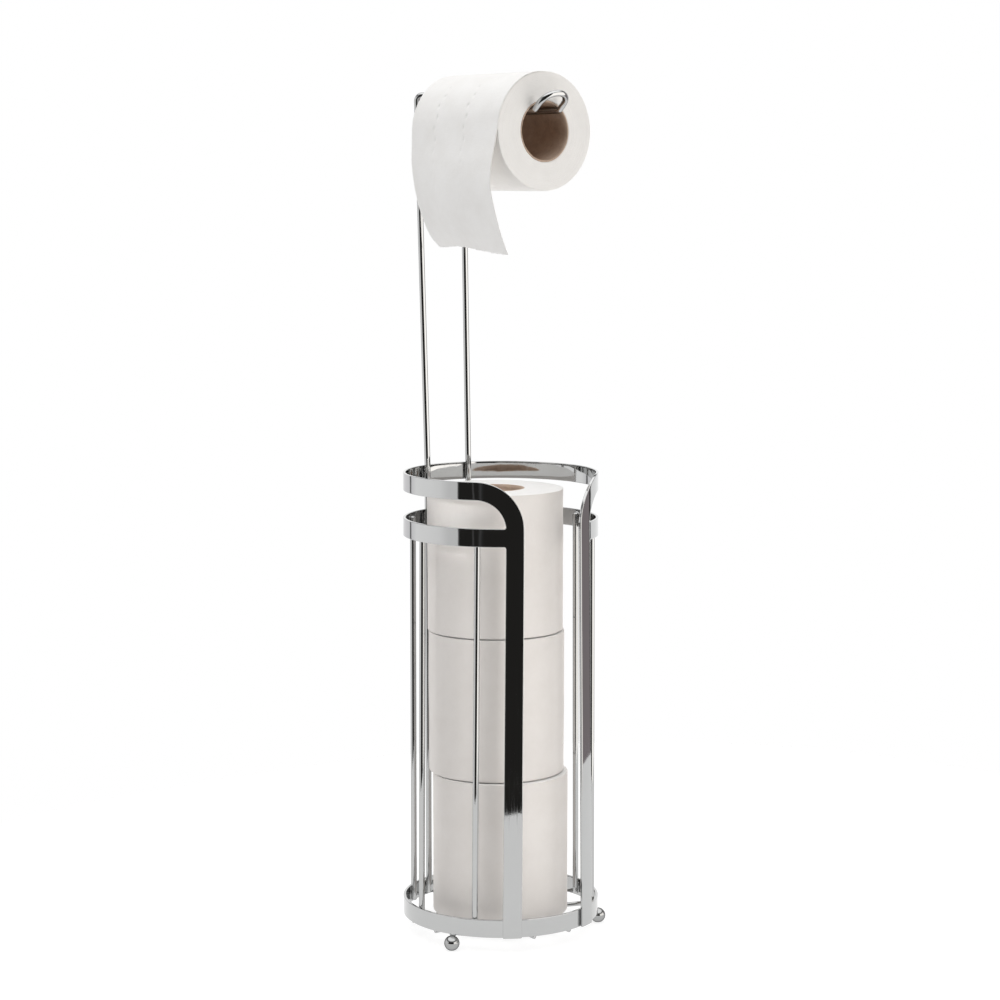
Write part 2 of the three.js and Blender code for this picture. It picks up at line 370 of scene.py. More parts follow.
def middle_hoop(chrome):
    """Runs round the back between the posts, and flares into a weld fillet at each."""
    near = round_cage(POST_ANGLE) + STRIP_W / 2 - 0.2       # just inside the post's edge
    far = round_cage(360) - near
    z = MIDDLE_Z + STRIP_W / 2
    steps = 240
    flare = [near - 0.8, near] + [near + WELD_FILLET * i / 6 for i in range(1, 7)]
    inner = [near + WELD_FILLET, far - WELD_FILLET]
    places = flare + [inner[0] + (inner[1] - inner[0]) * i / steps for i in range(1, steps)]
    places += [near + far - x for x in reversed(flare)]

    def width_of(x):
        reach = min(x - near, far - x)
        open_part = min(1.0, max(0.0, 1 - reach / WELD_FILLET))
        return STRIP_W + 2 * WELD_FILLET * (1 - math.sqrt(1 - open_part ** 2))

    build = Build()
    build.loft(strip_rings([(x, z, 0) for x in places], width_of, end_ease=-0.03))
    made = build.piece("middle_hoop_strip", "middle_hoop", "stand", "chrome_strip", [chrome], sharp=60)
    even_shading(made)


def base_hoop(chrome):
    """A closed ring, butt welded at the back."""
    steps = 260
    z = BASE_Z + STRIP_W / 2
    rings = []
    for i in range(steps):
        angle = 360 * i / steps
        turn = math.radians(angle)
        seam = 0.16 * math.exp(-((angle - 180) / 0.9) ** 2)
        ring = []
        for across, outward in strip_section(STRIP_W):
            uneven = 0.05 * wobble(math.sin(turn) * 3, math.cos(turn) * 3, across / 21, 3)
            swell = math.copysign(seam, outward)
            radius = BASE_R - STRIP_T / 2 + outward + swell + uneven
            ring.append(on_circle(radius, angle, z + across))
        rings.append(ring)
    build = Build()
    build.loft(rings, closed=True)
    made = build.piece("base_hoop_strip", "base_hoop", "stand", "chrome_strip", [chrome])
    even_shading(made)


# ---------------------------------------------------------------- wires

def bent_path(corners, spacing):
    """Points along straight runs, with a round bend at each inner one of the (place, radius) corners."""
    points = [corners[0][0].copy()]

    def straight_to(end):
        start = points[-1].copy()
        steps = max(1, round((end - start).length / spacing))
        for i in range(1, steps + 1):
            points.append(start.lerp(end, i / steps))

    for index in range(1, len(corners) - 1):
        corner, radius = corners[index]
        back = (corners[index - 1][0] - corner).normalized()
        onward = (corners[index + 1][0] - corner).normalized()
        half = back.angle(onward) / 2
        setback = radius / math.tan(half)
        straight_to(corner + back * setback)
        centre = corner + (back + onward).normalized() * radius / math.sin(half)
        spoke = points[-1] - centre
        axis = spoke.cross(corner + onward * setback - centre).normalized()
        sweep = math.pi - 2 * half
        bend_steps = max(3, round(math.degrees(sweep) / 7))
        for i in range(1, bend_steps + 1):
            points.append(centre + Matrix.Rotation(sweep * i / bend_steps, 3, axis) @ spoke)
    straight_to(corners[-1][0])
    return points


def wire_rings(points, radius, sides=24, end_dome=0.55):
    """Round sections that don't twist along the points, with softly rounded cut ends."""
    tangents = []
    for i, point in enumerate(points):
        before = points[max(0, i - 1)]
        after = points[min(len(points) - 1, i + 1)]
        tangents.append((after - before).normalized())
    side = tangents[0].orthogonal().normalized()
    rings = []

    def ring(centre, side, tangent, size):
        up = tangent.cross(side)
        return [centre + size * (side * math.cos(2 * math.pi * j / sides)
                                 + up * math.sin(2 * math.pi * j / sides)) for j in range(sides)]

    dome = [(1 - math.cos(math.radians(a)), math.sin(math.radians(a))) for a in (15, 35, 55, 75)]
    for depth, size in dome:
        rings.append(ring(points[0] + tangents[0] * depth * radius * end_dome, side, tangents[0],
                          radius * size))
    for i, point in enumerate(points):
        side = (side - side.project(tangents[i])).normalized()
        shift = Vector((0, 0, 0))
        if i == 0:
            shift = tangents[0] * radius * end_dome
        elif i == len(points) - 1:
            shift = -tangents[i] * radius * end_dome
        rings.append(ring(point + shift, side, tangents[i], radius))
    for depth, size in reversed(dome):
        rings.append(ring(points[-1] - tangents[-1] * depth * radius * end_dome, side, tangents[-1],
                          radius * size))
    return rings


def hoop_weld(build, centre, z, seed, hoop_r=HOOP_R):
    """The nugget between a wire and the inside of a hoop."""
    outward = Vector((centre.x - AXIS_X, centre.y - AXIS_Y, 0)).normalized()
    reach = hoop_r - STRIP_T - 0.15
    place = Vector((AXIS_X + outward.x * reach, AXIS_Y + outward.y * reach, z))
    build.bead(place, UP, outward, HOOP_WELD, seed)


def cage_rods(chrome):
    """Straight rods inside the hoops; they lean out a little as the cage spreads."""
    seed = 10
    low, high = BASE_Z + ROD_INSET, MIDDLE_Z + STRIP_W - ROD_INSET
    for side in ("left", "right"):
        for number, angle in enumerate(ROD_ANGLES, 1):
            node = f"cage_rod_{side}_{number}"
            turn = 360 - angle if side == "left" else angle
            foot = on_circle(BASE_WALL_R - ROD_R, facing(turn, low), low)
            head = on_circle(WALL_R - ROD_R, facing(turn, high), high)
            build = Build()
            build.loft(wire_rings(bent_path([(foot, 0), (head, 0)], 6), ROD_R))
            hoop_weld(build, foot, BASE_Z + STRIP_W / 2, seed, BASE_R)
            hoop_weld(build, head, MIDDLE_Z + STRIP_W / 2, seed + 1)
            build.piece(f"{node}_wire", node, "stand", "chrome_wire", [chrome])
            seed += 2


def floor_wire(node, turn, level_z, seed, crossed, chrome):
    """One wire of the cage floor; a crossed one is welded to the pair under it."""
    offset = FLOOR_WIRE_SPACING / 2
    reach = math.sqrt(BASE_WALL_R ** 2 - (offset + FLOOR_WIRE_R) ** 2)
    end_z = BASE_Z - FLOOR_WIRE_END_DROP
    spin = Matrix.Rotation(math.radians(turn + CAGE_TURN), 3, "Z")
    run, sideways = spin @ Vector((1, 0, 0)), spin @ Vector((0, 1, 0))

    def at(along, z):
        return Vector((AXIS_X, AXIS_Y, 0)) + spin @ Vector((along, offset, z))

    ends = ((-reach, end_z, 0), (-reach + FLOOR_WIRE_RIM, end_z, FLOOR_WIRE_BEND_R),
            (-reach + FLOOR_WIRE_DISH, level_z, FLOOR_WIRE_BEND_R))
    half = [(at(along, z), bend) for along, z, bend in ends]
    mirrored = [(at(-along, z), bend) for along, z, bend in reversed(ends)]
    build = Build()
    build.loft(wire_rings(bent_path(half + mirrored, 5), FLOOR_WIRE_R, sides=20))
    for end in (-1, 1):
        build.bead(at(end * (reach - 0.2), BASE_Z + 0.3), run, UP, RIM_WELD, seed)
        seed += 1
    if crossed:
        for crossing in (-offset, offset):
            place = at(crossing, level_z - FLOOR_WIRE_R - GAP / 2)
            build.bead(place, run, sideways, CROSSING_WELD, seed)
            seed += 1
    build.piece(f"{node}_rod", node, "stand", "chrome_wire", [chrome])


def floor_wires(chrome):
    """Two wires over two, dished in the middle, welded under the rim of the base hoop."""
    upper_z = node_box("spare_roll_bottom")[0].z - GAP - FLOOR_WIRE_R
    lower_z = upper_z - 2 * FLOOR_WIRE_R - GAP
    floor_wire("floor_wire_cross_rear", 0, upper_z, 40, True, chrome)
    floor_wire("floor_wire_cross_front", 180, upper_z, 44, True, chrome)
    floor_wire("floor_wire_long_left", 90, lower_z, 48, False, chrome)
    floor_wire("floor_wire_long_right", -90, lower_z, 50, False, chrome)


def ball_outline(rows=30):
    """Radius and height up a ball that stands on a small flat."""
    rise = math.sqrt(BALL_R ** 2 - BALL_FLAT_R ** 2)
    start = -math.asin(rise / BALL_R)
    outline = [(0.4, 0.0), (BALL_FLAT_R * 0.6, 0.0), (BALL_FLAT_R - 0.15, 0.0)]
    for i in range(1, rows):
        lift = start + (math.pi / 2 - start) * i / rows
        outline.append((BALL_R * math.cos(lift), rise + BALL_R * math.sin(lift)))
    return outline


def ball_feet(chrome):
    sides = 48
    turns = [2 * math.pi * j / sides for j in range(sides)]
    for seed, name in enumerate(("left", "right", "rear"), 60):
        node = f"ball_foot_{name}"
        centre = middle_of(node)
        build = Build()
        build.loft([[Vector((centre.x + r * math.cos(t), centre.y + r * math.sin(t), z)) for t in turns]
                    for r, z in ball_outline()])
        spoke = Vector((centre.x - AXIS_X, centre.y - AXIS_Y, 0))
        outward = spoke.normalized()
        round_way = Vector((-outward.y, outward.x, 0))
        inner = centre - outward * (spoke.length - BASE_R + STRIP_T / 2) * 0.8
        weld = Vector((inner.x, inner.y, BASE_Z - 0.35))
        build.bead(weld, round_way, outward, FOOT_WELD, seed)
        build.piece(f"{node}_ball", node, "stand", "chrome_ball", [chrome])


def mast_side(side):
    foot = on_circle(WALL_R - MAST_R, side * MAST_ANGLE, BASE_Z + ROD_INSET)
    knee = Vector((foot.x, foot.y, TOP_Z))
    top = Vector((foot.x + side * MAST_SPLAY, foot.y + MAST_RAKE, MAST_TOP_Z))
    x = AXIS_X + side * ARM_HALF_W
    kick = math.radians(ARM_KICK_ANGLE)
    tip_y = ARM_KICK_Y - ARM_KICK_LENGTH * math.cos(kick)
    tip_z = ARM_Z + ARM_KICK_LENGTH * math.sin(kick)
    return [(foot, 0), (knee, MAST_KNEE_R), (top, BEND_R),
            (Vector((x, AXIS_Y + ARM_BACK_Y, ARM_Z)), ARM_BEND_R),
            (Vector((x, AXIS_Y + ARM_KICK_Y, ARM_Z)), BEND_R),
            (Vector((x, AXIS_Y + tip_y, tip_z)), ARM_HALF_W - 0.1)]


def mast_wire(chrome):
    build = Build()
    corners = mast_side(-1) + mast_side(1)[::-1]
    build.loft(wire_rings(bent_path(corners, 8), MAST_R, sides=28))
    for side in (-1, 1):
        foot = mast_side(side)[0][0]
        for z, seed in ((BASE_Z, 70), (MIDDLE_Z, 71), (TOP_Z - STRIP_W, 72)):
            hoop_weld(build, foot, z + STRIP_W / 2, seed + 10 * side)
    build.piece("mast_and_arm_wire", "mast_wire", "stand", "chrome_wire", [chrome])


# ---------------------------------------------------------------- rolls

def stitch_depth(around, along, lines):
    """Depth of the pressed stitches: short dents, a pitch apart, along each line."""
    depth = 0.0
    step = round(around / STITCH_PITCH)
    sway = 0.9 * (-1) ** step
    length = (around - step * STITCH_PITCH) / STITCH_LENGTH
    for line in lines:
        if abs(along - line) <= STITCH_REACH:
            across = along - line - sway
            depth = max(depth, math.exp(-across ** 2 - length ** 2))
    return depth


class Roll:
    """Wound paper about an axis, from base to base + width along it.

    edge is the radius of its rounded edges, and stitches the depth of the stitches on the lines."""

    def __init__(self, base, axis, across, radius, width, seed, edge=0.8, lines=(), stitches=0.0):
        self.base = base
        self.axis = axis
        self.across = across
        self.up = axis.cross(across)
        self.radius = radius
        self.width = width
        self.seed = seed
        self.edge = edge
        self.lines = lines
        self.stitches = stitches

    def place(self, radius, turn, along):
        spoke = self.across * math.cos(turn) + self.up * math.sin(turn)
        return self.base + self.axis * along + spoke * radius

    def end_relief(self, radius, turn):
        """The windings stand a little in and out on the cut ends, along a spiral."""
        winding = radius + 0.55 * turn / (2 * math.pi)
        layers = 0.10 * wobble(winding * 1.9, 0.4 * math.cos(turn), 0.4 * math.sin(turn), self.seed)
        broad = 0.3 * wobble(winding / 9, math.cos(turn) * 1.1, math.sin(turn) * 1.1, self.seed + 3)
        return layers + broad

    def side_relief(self, turn, along):
        """Softly uneven winding, with the pressed stitches."""
        cos, sin = math.cos(turn) * self.radius, math.sin(turn) * self.radius
        broad = 0.32 * wobble(cos / 26, sin / 26, along / 26, self.seed + 5)
        creases = 0.07 * wobble(cos / 5, sin / 5, along / 34, self.seed + 7)
        around = turn * self.radius
        dents = self.stitches * stitch_depth(around, along - self.width / 2, self.lines)
        return broad + creases - dents - 0.15

    def columns(self):
        """Places along the roll, closer together where the stitches run."""
        places = []
        along = self.edge
        while along < self.width - self.edge:
            places.append(along)
            near = any(abs(along - self.width / 2 - line) < 4.2 for line in self.lines)
            along += 0.7 if near else 2.4
        return places + [self.width - self.edge]

    def rings(self):
        edge = self.edge
        bore = CORE_OUT_R + 0.1
        end_steps = round((self.radius - edge - bore) / 0.55)
        radii = [bore + (self.radius - edge - bore) * i / end_steps for i in range(end_steps + 1)]
        turns = [2 * math.pi * j / ROLL_SIDES for j in range(ROLL_SIDES)]
        rings = []
        for radius in radii:
            rings.append([self.place(radius, t, END_INSET + self.end_relief(radius, t)) for t in turns])
        for i in range(1, 4):
            rings.append([self.corner(t, i / 4, 0) for t in turns])
        side_from = len(rings)
        for along in self.columns():
            rings.append([self.place(self.radius + self.side_relief(t, along), t, along) for t in turns])
        side_to = len(rings)
        for i in range(3, 0, -1):
            rings.append([self.corner(t, i / 4, 1) for t in turns])
        far_end = self.width - END_INSET
        for radius in reversed(radii):
            rings.append([self.place(radius, t, far_end - self.end_relief(radius, t + FAR_END_TURN))
                          for t in turns])
        return rings, side_from, side_to

    def corner(self, turn, part, end):
        """The rounded edge between an end and the side; the outer sheets curl over unevenly."""
        edge = self.edge
        swing = math.pi / 2 * part
        radius = self.radius - edge + edge * math.sin(swing)
        relief = self.end_relief(self.radius - edge, turn if end == 0 else turn + FAR_END_TURN)
        side = self.side_relief(turn, edge if end == 0 else self.width - edge)
        height = (END_INSET + relief) * (1 - part) + edge * (1 - math.cos(swing))
        if end == 1:
            height = self.width - height
        return self.place(radius + side * part, turn, height)

    def piece(self, name, node, body, slot, materials):
        rings, side_from, side_to = self.rings()
        build = Build()
        on_side = range(side_from - 2, side_to + 2)     # with most of the rounded edges
        build.loft(rings, closed=True, slot_of=lambda i: 0 if i in on_side else 1)
        build.piece(name, node, body, slot, materials)


def core_tube(base, axis, across, width, name, node, body, materials, seed):
    """A spirally wound cardboard tube: the seam of its plies stands up a little."""
    up = axis.cross(across)
    sides, steps = 96, 40
    rings = []

    def ring(radius, along, relief):
        loop = []
        for j in range(sides):
            turn = 2 * math.pi * j / sides
            spiral = (turn / (2 * math.pi) - along / 38) % 1.0
            seam = 0.18 * math.exp(-((spiral - 0.5) / 0.018) ** 2)
            oval = 0.12 * math.cos(2 * turn + seed)
            spoke = across * math.cos(turn) + up * math.sin(turn)
            loop.append(base + axis * along + spoke * (radius + oval - relief * seam))
        return loop

    for i in range(steps + 1):
        rings.append(ring(CORE_IN_R, 0.3 + (width - 0.6) * i / steps, 1))
    rings.append(ring((CORE_IN_R + CORE_OUT_R) / 2, width - 0.05, 0))
    for i in range(steps, -1, -1):
        rings.append(ring(CORE_OUT_R - 0.12, 0.3 + (width - 0.6) * i / steps, 0))
    rings.append(ring((CORE_IN_R + CORE_OUT_R) / 2, 0.05, 0))
    build = Build()
    build.loft(rings, closed=True)
    build.piece(name, node, body, "core_cardboard", materials)


def spare_rolls(tissue_side, cardboard):
    for number, name in enumerate(SPARES):
        body, paper, core = f"spare_{name}", f"spare_roll_{name}", f"spare_core_{name}"
        low, high = node_box(paper)
        centre = (low + high) / 2
        base = Vector((centre.x, centre.y, low.z))
        radius, height = (high.x - low.x) / 2, high.z - low.z
        turn = 1.9 * number                # radians, so that the rolls aren't alike
        across = Vector((math.cos(turn), math.sin(turn), 0))
        roll = Roll(base, UP, across, radius, height, seed=20 + number)
        materials = [tissue_side, windings(f"spare_{name}_windings", centre, axis=2)]
        roll.piece(f"{paper}_paper", paper, body, "roll_paper", materials)
        core_tube(base, UP, across, height, f"{core}_tube", core, body, [cardboard], seed=number)


def supply_roll(tissue_side, cardboard):
    base = Vector((SUPPLY_MIDDLE.x, SUPPLY_LOW.y, SUPPLY_MIDDLE.z))
    axis, across = Vector((0, 1, 0)), Vector((-1, 0, 0))
    roll = Roll(base, axis, across, SUPPLY_R, ROLL_W, seed=31, edge=0.9, lines=STITCH_LINES, stitches=0.75)
    materials = [tissue_side, windings("supply_windings", SUPPLY_MIDDLE, axis=1)]
    roll.piece("supply_roll_paper", "supply_roll", "supply", "roll_paper", materials)
    core_tube(base, axis, across, ROLL_W, "supply_core_tube", "supply_core", "supply", [cardboard], seed=5)


# ---------------------------------------------------------------- loose sheet

def through(points, t):
    """A smooth curve through the points, t from 0 to 1."""
    spans = len(points) - 1
    i = min(int(t * spans), spans - 1)
    local = t * spans - i
    p1, p2 = points[i], points[i + 1]
    p0 = points[i - 1] if i > 0 else p1 * 2 - p2
    p3 = points[i + 2] if i + 2 <= spans else p2 * 2 - p1
    return 0.5 * (2 * p1 + (p2 - p0) * local + (2 * p0 - 5 * p1 + 4 * p2 - p3) * local ** 2
                  + (3 * p1 - p0 - 3 * p2 + p3) * local ** 3)


def sheet_rail(edge):
    """One long edge of the sheet: out of the winding, down the roll, then free."""
    steps = 8
    rail = []
    for i in range(steps):
        lift = math.radians(SHEET_START * (1 - i / (steps - 0.5)))
        hug = SUPPLY_R - 0.4 + (0.4 + SHEET_LIFT) * smooth(0, 2, i)
        rail.append(Vector((-hug * math.cos(lift), 0, hug * math.sin(lift))))
    return rail + [Vector((x, 0, z)) for x, z in edge]


def torn_edge(along):
    """Small teeth, and larger unevenness under them."""
    return 0.5 * abs((along / 2.6) % 1.0 - 0.5) + 0.5 * wobble(along / 6, 0, 0, 43)


def sheet_row(v, length, edges, last):
    """Points across the sheet at the part v of its length; its free end waves a little."""
    back, front = edges
    free = smooth(0.5, 0.85, v)
    pressed = 0.8 * smooth(0.15, 0.35, v) * (1 - 0.8 * smooth(0.5, 0.75, v))
    row = []
    for j in range(SHEET_COLUMNS + 1):
        u = j / SHEET_COLUMNS
        point = back.lerp(front, u)
        along = (0.5 - u) * ROLL_W
        bow = 1.2 * free * math.sin(math.pi * u) - 0.5 * free * math.sin(3 * math.pi * u + 0.6)
        ripple = 0.45 * free * wobble(along / 22, v * 3, 0, 41)
        dents = pressed * stitch_depth(length, along, STITCH_LINES)
        curl = 1.6 * smooth(0.0, 0.3, u) * free * math.sin(math.pi * u * 1.6) * smooth(0.85, 1.0, v)
        teeth = torn_edge(along) if last else 0.0
        x = point.x - bow - ripple + dents
        z = point.z + teeth + curl
        row.append(Vector((SUPPLY_MIDDLE.x + x, SUPPLY_MIDDLE.y + along, SUPPLY_MIDDLE.z + z)))
    return row


def sheet_surface():
    """The sheet's points and faces, and its length along the middle."""
    back, front = sheet_rail(BACK_EDGE), sheet_rail(FRONT_EDGE)
    verts, faces = [], []
    length = 0.0
    previous = None
    for i in range(SHEET_ROWS + 1):
        v = i / SHEET_ROWS
        edges = through(back, v), through(front, v)
        middle = (edges[0] + edges[1]) / 2
        if previous is not None:
            length += (middle - previous).length
        previous = middle
        verts += sheet_row(v, length, edges, last=i == SHEET_ROWS)
    across = SHEET_COLUMNS + 1
    for i in range(SHEET_ROWS):
        for a in range(i * across, i * across + SHEET_COLUMNS):
            faces.append((a, a + 1, a + across + 1, a + across))
    return verts, faces, length


def loose_sheet(paper):
    verts, faces, length = sheet_surface()
    mesh = bpy.data.meshes.new("supply_sheet_paper")
    mesh.from_pydata([v * MM for v in verts], [], faces)
    mesh.materials.append(paper)
    mesh.polygons.foreach_set("use_smooth", [True] * len(faces))
    made = placed("supply_sheet_paper", mesh)
    thick = made.modifiers.new("thickness", "SOLIDIFY")
    thick.thickness = SHEET_T * MM
    thick.offset = 0
    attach(made, "stand")
    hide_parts("supply_sheet")


# ---------------------------------------------------------------- materials

class Nodes:
    """A node tree, written as nested calls."""

    def __init__(self, tree):
        self.tree = tree

    def set(self, node, socket, value):
        target = node.inputs[socket]
        if isinstance(value, bpy.types.NodeSocket):
            self.tree.links.new(value, target)
        else:
            target.default_value = value

    def node(self, kind, inputs=(), **settings):
        made = self.tree.nodes.new("ShaderNode" + kind)
        for key, value in settings.items():
            setattr(made, key, value)
        for socket, value in dict(inputs).items():
            self.set(made, socket, value)
        return made

    def math(self, operation, a, b=0.0):
        return self.node("Math", {0: a, 1: b}, operation=operation).outputs[0]

    def ramp(self, fac, stops):
        made = self.node("ValToRGB", {"Fac": fac})
        elements = made.color_ramp.elements
        while len(elements) < len(stops):
            elements.new(1.0)
        for element, (position, colour) in zip(elements, stops):
            element.position = position
            element.color = (*colour, 1.0)
        return made.outputs["Color"]

    def remap(self, fac, low, high, to_low=0.0, to_high=1.0):
        made = self.node("MapRange", {"Value": fac, "From Min": low, "From Max": high,
                                      "To Min": to_low, "To Max": to_high})
        return made.outputs["Result"]


class Shader(Nodes):
    """A material of one Principled node, with what feeds it."""

    def __init__(self, name, **values):
        self.material = bpy.data.materials.new(name)
        self.material.use_nodes = True
        super().__init__(self.material.node_tree)
        self.bsdf = self.tree.nodes["Principled BSDF"]
        self.finish(**values)

    def noise(self, vector, scale, detail=3.0, roughness=0.55):
        made = self.node("TexNoise", {"Vector": vector, "Scale": scale, "Detail": detail,
                                      "Roughness": roughness})
        return made.outputs["Fac"]

    def place(self, scale=(1, 1, 1)):
        """Object coordinates in millimetres, stretched by scale."""
        where = self.node("TexCoord").outputs["Object"]
        return self.node("Mapping", {"Vector": where, "Scale": [s / MM for s in scale]}).outputs["Vector"]

    def bump(self, height, strength, distance, under=None):
        inputs = {"Height": height, "Strength": strength, "Distance": distance * MM}
        if under is not None:
            inputs["Normal"] = under
        return self.node("Bump", inputs).outputs["Normal"]

    def finish(self, **links):
        for socket, value in links.items():
            self.set(self.bsdf, socket.replace("_", " "), value)
        return self.material


CHROME = (0.487, 0.49, 0.488)
# Painted shade: the balls' plating is 0.8 as bright as the rest, standing in for the shadowed floor under
# the stand that they reflect.
BALL_CHROME_PAINTED_SHADE = [level * 0.8 for level in CHROME]
WIPED_UPWARDS = (0.9, 0.9, 0.06)
WIPED_ALL_ROUND = (0.3, 0.3, 0.3)


def chrome_plate(name, tone, haze_scale, wiped=WIPED_UPWARDS, edge=1.0):
    """Bright plating: near mirror, with faint haze, wiping marks and duller welds.

    An edge below 1 darkens it where it is seen at a grazing angle."""
    shader = Shader(name, Metallic=1.0, Specular_Tint=(edge, edge, edge, 1))
    where = shader.place()
    cloud = shader.noise(where, haze_scale, 4.0)
    tint = shader.ramp(cloud, [(0.3, [level * 0.97 for level in tone]), (0.7, tone)])
    wipe = shader.noise(shader.place(wiped), 1.0, 2.0)
    marks = shader.remap(wipe, 0.45, 0.75, 0.0, 0.05)
    polish = shader.remap(cloud, 0.35, 0.75, 0.012, 0.05)
    weld = shader.node("Attribute", attribute_name="weld_haze").outputs["Fac"]
    dull = shader.math("MULTIPLY", weld, 0.22)
    rough = shader.math("ADD", shader.math("ADD", polish, marks), dull)
    peel = shader.bump(shader.noise(where, 0.35, 2.0), 0.15, 0.02)
    grain = shader.bump(shader.noise(where, 1.6, 2.0), shader.math("MULTIPLY", weld, 0.25), 0.12, peel)
    return shader.finish(Base_Color=tint, Roughness=rough, Normal=grain)


PAPER_LIGHT = (0.925, 0.915, 0.9)
PAPER_SHADE = (0.892, 0.879, 0.86)
# Painted shade: this darkens the spare rolls' paper to stand in for the dimmer light inside the cage; it
# also makes it a little warmer.
SPARE_PAINTED_SHADE = (0.85, 0.82, 0.80)
UPRIGHT_CREPE = (3.0, 3.0, 0.25)
LYING_CREPE = (3.0, 0.25, 3.0)


def tissue(name, crepe_scale, tint=(1, 1, 1)):
    """Crêped tissue: fine ridges across the web, soft mottling and loose fibres."""
    shader = Shader(name, Sheen_Weight=0.12, Sheen_Roughness=0.6)
    where = shader.place()
    mottle = shader.noise(where, 0.05, 5.0, 0.6)
    # tint scales both tones; for the spare rolls it is painted shade.
    shade, light = ([c * t for c, t in zip(tone, tint)] for tone in (PAPER_SHADE, PAPER_LIGHT))
    colour = shader.ramp(mottle, [(0.35, shade), (0.62, light)])
    crepe = shader.noise(shader.place(crepe_scale), 1.0, 3.0)
    fibres = shader.noise(where, 2.4, 4.0, 0.7)
    pillow = shader.noise(where, 0.35, 2.0)
    rough = shader.remap(fibres, 0.3, 0.7, 0.86, 0.98)
    ridges = shader.bump(crepe, 0.5, 0.10)
    soft = shader.bump(pillow, 0.5, 0.25, ridges)
    normal = shader.bump(fibres, 0.45, 0.06, soft)
    return shader.finish(Base_Color=colour, Roughness=rough, Normal=normal)


def windings(name, centre, axis):
    """The cut end of a roll: hundreds of plies, seen edge on."""
    shader = Shader(name, Sheen_Weight=0.1, Sheen_Roughness=0.6)
    where = shader.place()
    from_middle = shader.node("VectorMath", {0: where, 1: centre}, operation="SUBTRACT").outputs[0]
    flat = [1.0, 1.0, 1.0]
    flat[axis] = 0.0
    flattened = shader.node("VectorMath", {0: from_middle, 1: flat}, operation="MULTIPLY").outputs[0]
    radius = shader.node("VectorMath", {0: flattened}, operation="LENGTH").outputs["Value"]
    plies = shader.node("TexNoise", {"W": radius, "Scale": 2.6, "Detail": 4.0, "Roughness": 0.7},
                        noise_dimensions="1D").outputs["Fac"]
    patches = shader.noise(where, 0.12, 3.0)
    fibres = shader.noise(where, 2.2, 3.0, 0.7)
    both = shader.math("ADD", shader.math("MULTIPLY", plies, 0.7), shader.math("MULTIPLY", patches, 0.3))
    colour = shader.ramp(both, [(0.3, [c * 0.96 for c in PAPER_SHADE]), (0.6, PAPER_LIGHT)])
    rough = shader.remap(fibres, 0.3, 0.7, 0.88, 0.98)
    ridges = shader.bump(plies, 0.45, 0.2)
    normal = shader.bump(fibres, 0.5, 0.08, ridges)
    return shader.finish(Base_Color=colour, Roughness=rough, Normal=normal)


def board(name):
    """Grey-brown chipboard with flecks and short fibres."""
    shader = Shader(name)
    where = shader.place()
    cloud = shader.noise(where, 0.12, 5.0, 0.65)
    fibres = shader.noise(shader.place((0.5, 1.8, 0.5)), 1.0, 4.0, 0.7)
    both = shader.math("ADD", shader.math("MULTIPLY", cloud, 0.6), shader.math("MULTIPLY", fibres, 0.4))
    colour = shader.ramp(both, [(0.3, (0.40, 0.285, 0.215)), (0.5, (0.56, 0.42, 0.325)),
                                (0.72, (0.66, 0.53, 0.42))])
    rough = shader.remap(fibres, 0.3, 0.7, 0.78, 0.95)
    return shader.finish(Base_Color=colour, Roughness=rough, Normal=shader.bump(fibres, 0.5, 0.15))


# ---------------------------------------------------------------- studio

def grey(level):
    return level, level, level


LIGHT, DIM = grey(1.14), (0.95, 0.94, 0.96)
DARK, BLACK = (0.31, 0.273, 0.283), (0.025, 0.024, 0.0225)
LAMP = (2.0, 1.94, 1.86)
# Brightness of the walls by the direction they are seen in: degrees from the front towards +X
WALL_BANDS = (
    (-180, DIM), (-173, DIM), (-172, grey(0.18)), (-168.5, grey(0.18)), (-167.5, DIM),
    (-155, grey(1.2)), (-130, grey(1.19)), (-114, grey(1.12)), (-101, grey(0.94)), (-89.5, grey(0.92)),
    (-88.5, BLACK), (-71.5, BLACK), (-70.8, grey(0.3)), (-70.1, BLACK), (-63.5, BLACK),
    (-62.8, grey(0.09)), (-59, grey(0.035)), (-57, BLACK), (-8, BLACK), (-5, LAMP), (66, LAMP),
    (71, DARK), (88.5, DARK), (90, BLACK), (93, BLACK), (94.5, LIGHT), (150, LIGHT), (165, DIM), (180, DIM),
)
BRIGHTEST = 2.0
DIFFUSE_SHARE = 0.80                   # the walls light the paper less than they shine in the chrome
# The walls end, and the ceiling brightens, between these heights of the direction: 1 is straight up
WALLS_END = (0.34, 0.5)
CEILING = ((0.60, grey(0.12)), (0.72, grey(0.85)))


def studio_world():
    """White for the camera; walls of light and dark panels, and a soft box overhead, for the rest."""
    world = bpy.data.worlds.new("studio")
    scene.world = world
    world.use_nodes = True
    nodes = Nodes(world.node_tree)
    nodes.tree.nodes.clear()
    direction = nodes.node("TexCoord").outputs["Generated"]
    x, y, z = nodes.node("SeparateXYZ", {0: direction}).outputs
    turn = nodes.math("ARCTAN2", x, nodes.math("MULTIPLY", y, -1.0))
    walls = nodes.ramp(nodes.remap(turn, -math.pi, math.pi),
                       [(angle / 360 + 0.5, [level / BRIGHTEST for level in colour])
                        for angle, colour in WALL_BANDS])
    ceiling = nodes.ramp(nodes.remap(z, 0.0, 1.0), CEILING)
    room = nodes.node("Mix", {"Factor": nodes.remap(z, *WALLS_END), "A": walls, "B": ceiling},
                      data_type="RGBA").outputs["Result"]
    path = nodes.node("LightPath").outputs
    strength = nodes.remap(path["Is Glossy Ray"], 0.0, 1.0, BRIGHTEST * DIFFUSE_SHARE, BRIGHTEST)
    room_light = nodes.node("Background", {"Color": room, "Strength": strength}).outputs[0]
    white = nodes.node("Background", {"Color": (1, 1, 1, 1), "Strength": 1.0}).outputs[0]
    shown = nodes.node("MixShader", {0: path["Is Camera Ray"], 1: room_light, 2: white}).outputs[0]
    nodes.node("OutputWorld", {"Surface": shown})


